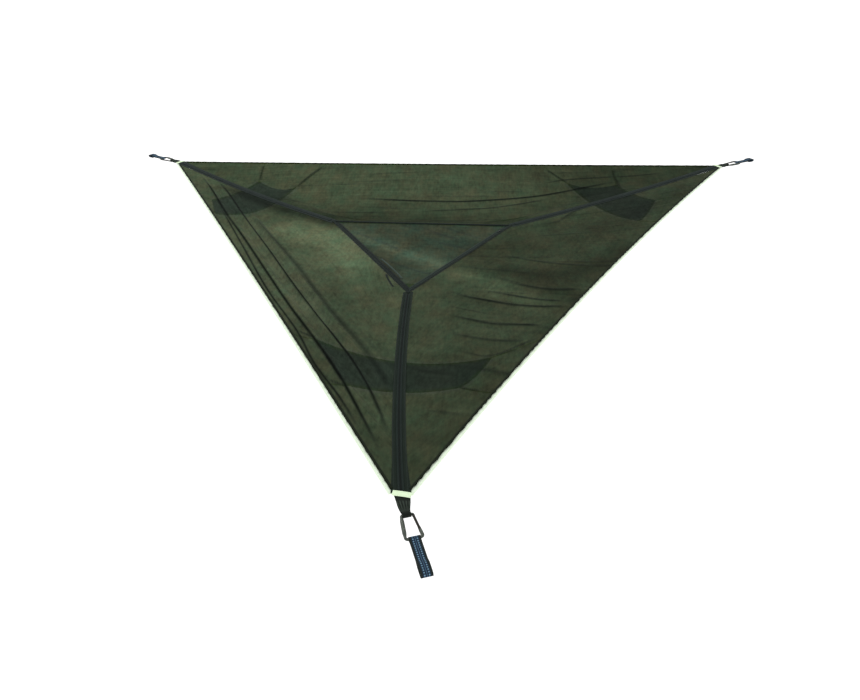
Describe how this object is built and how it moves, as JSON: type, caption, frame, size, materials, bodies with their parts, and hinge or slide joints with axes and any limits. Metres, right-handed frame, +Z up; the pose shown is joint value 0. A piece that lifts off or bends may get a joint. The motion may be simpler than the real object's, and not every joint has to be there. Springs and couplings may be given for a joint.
{
  "type": "triangle hammock",
  "caption": "Three-point triangular mesh hammock with a zipped middle hatch, gear slings underneath and a tab, carabiner and strap at each corner.",
  "frame": {"origin": "middle of the near strap's far eye, where the near corner is fastened; the sheet's three corners lie in the plane z = 0", "axes": "+X along the far edge from corner A to corner B, +Y from the near corner to the far edge, +Z up"},
  "size_m": [4.5715, 3.9475, 0.21],
  "materials": {
    "mesh": "fine dark olive mesh, nearly opaque, with long soft folds",
    "hatch_mesh": "greyer, slightly more open mesh",
    "band": "doubled dark mesh with stitched edges",
    "load_tape": "dark blue-grey woven webbing",
    "edge_tape": "pale lime woven webbing",
    "tab": "dark gathered webbing",
    "metal": "dark satin steel, worn brighter at the bends",
    "strap": "black polyester webbing with a light blue stitched line",
    "zip": "dark woven zip tape",
    "zip_metal": "dark coated metal",
    "handle": "pale grey-green webbing",
    "line": "thin dark braided line"
  },
  "bodies": {
    "hammock": {"corner_tab_a": "tab", "corner_tab_b": "tab", "corner_tab_c": "tab", "corner_wrap_a": "edge_tape", "corner_wrap_b": "edge_tape", "corner_wrap_c": "edge_tape", "edge_tape_ab": "edge_tape", "edge_tape_bc": "edge_tape", "edge_tape_ca": "edge_tape", "gear_sling_a": "mesh", "gear_sling_b": "mesh", "gear_sling_c": "mesh", "hatch_frame_tape": "band", "hatch_tie": "band", "load_tape_a": "load_tape", "load_tape_b": "load_tape", "load_tape_c": "load_tape", "mesh_panel_far": "mesh", "mesh_panel_left": "mesh", "mesh_panel_right": "mesh", "radial_band_a": "band", "radial_band_b": "band", "radial_band_c": "band", "sling_line_a1": "line", "sling_line_a2": "line", "sling_line_a3": "line", "sling_line_a4": "line", "sling_line_b1": "line", "sling_line_b2": "line", "sling_line_b3": "line", "sling_line_b4": "line", "sling_line_c1": "line", "sling_line_c2": "line", "sling_line_c3": "line", "sling_line_c4": "line", "zip_tape_frame": "zip"},
    "carabiner_a": {"carabiner_body_a": "metal", "gate_pin_a": "metal"},
    "gate_a": {"carabiner_gate_a": "metal", "gate_spring_a": "metal"},
    "strap_a": {"tree_strap_a": "strap"},
    "carabiner_b": {"carabiner_body_b": "metal", "gate_pin_b": "metal"},
    "gate_b": {"carabiner_gate_b": "metal", "gate_spring_b": "metal"},
    "strap_b": {"tree_strap_b": "strap"},
    "carabiner_c": {"carabiner_body_c": "metal", "gate_pin_c": "metal"},
    "gate_c": {"carabiner_gate_c": "metal", "gate_spring_c": "metal"},
    "strap_c": {"tree_strap_c": "strap"},
    "hatch_flap": {"hatch_panel": "hatch_mesh", "zip_tape_flap": "zip", "hatch_handle": "handle"},
    "zip_slider": {"zip_slider": "zip_metal"},
    "zip_pull": {"zip_pull": "zip_metal"}
  },
  "joints": [
    {"name": "carabiner_swing_a", "type": "hinge", "parent": "hammock", "child": "carabiner_a", "pos_m": [-2.15733, 3.76921, 0], "axis": [-0.5, -0.866, 0], "range_deg": [-80, 80]},
    {"name": "gate_open_a", "type": "hinge", "parent": "carabiner_a", "child": "gate_a", "pos_m": [-2.17503, 3.75656, 0], "axis": [0, 0, -1], "range_deg": [0, 28], "stiffness_Nm_per_rad": 0.2, "springref_deg": -34.38},
    {"name": "strap_swing_a", "type": "hinge", "parent": "carabiner_a", "child": "strap_a", "pos_m": [-2.24393, 3.81921, 0], "axis": [-0.5, -0.866, 0], "range_deg": [-80, 80]},
    {"name": "carabiner_swing_b", "type": "hinge", "parent": "hammock", "child": "carabiner_b", "pos_m": [1.96218, 3.76921, 0], "axis": [-0.5, 0.866, 0], "range_deg": [-80, 80]},
    {"name": "gate_open_b", "type": "hinge", "parent": "carabiner_b", "child": "gate_b", "pos_m": [1.96007, 3.79087, 0], "axis": [0, 0, -1], "range_deg": [0, 28], "stiffness_Nm_per_rad": 0.2, "springref_deg": -34.38},
    {"name": "strap_swing_b", "type": "hinge", "parent": "carabiner_b", "child": "strap_b", "pos_m": [2.04879, 3.81921, 0], "axis": [-0.5, 0.866, 0], "range_deg": [-80, 80]},
    {"name": "carabiner_swing_c", "type": "hinge", "parent": "hammock", "child": "carabiner_c", "pos_m": [-0.06901, 0.20626, 0], "axis": [0.9483, 0.3173, 0], "range_deg": [-80, 80]},
    {"name": "gate_open_c", "type": "hinge", "parent": "carabiner_c", "child": "gate_c", "pos_m": [-0.04737, 0.20401, 0], "axis": [0, 0, -1], "range_deg": [0, 28], "stiffness_Nm_per_rad": 0.2, "springref_deg": -34.38},
    {"name": "strap_swing_c", "type": "hinge", "parent": "carabiner_c", "child": "strap_c", "pos_m": [-0.03728, 0.11143, 0], "axis": [0.9483, 0.3173, 0], "range_deg": [-80, 80]},
    {"name": "hatch_open", "type": "hinge", "parent": "hammock", "child": "hatch_flap", "pos_m": [-0.20207, 2.83501, -0.098], "axis": [-0.9995, 0.0304, 0], "range_deg": [0, 155]},
    {"name": "zip_slide", "type": "slide", "parent": "hammock", "child": "zip_slider", "axis": [-0.5287, -0.8488, 0], "range_m": [-0.05, 0.9]},
    {"name": "zip_pull_lift", "type": "hinge", "parent": "zip_slider", "child": "zip_pull", "pos_m": [0.29627, 2.73619, -0.098], "axis": [-0.8488, 0.5287, 0], "range_deg": [0, 120]}
  ]
}
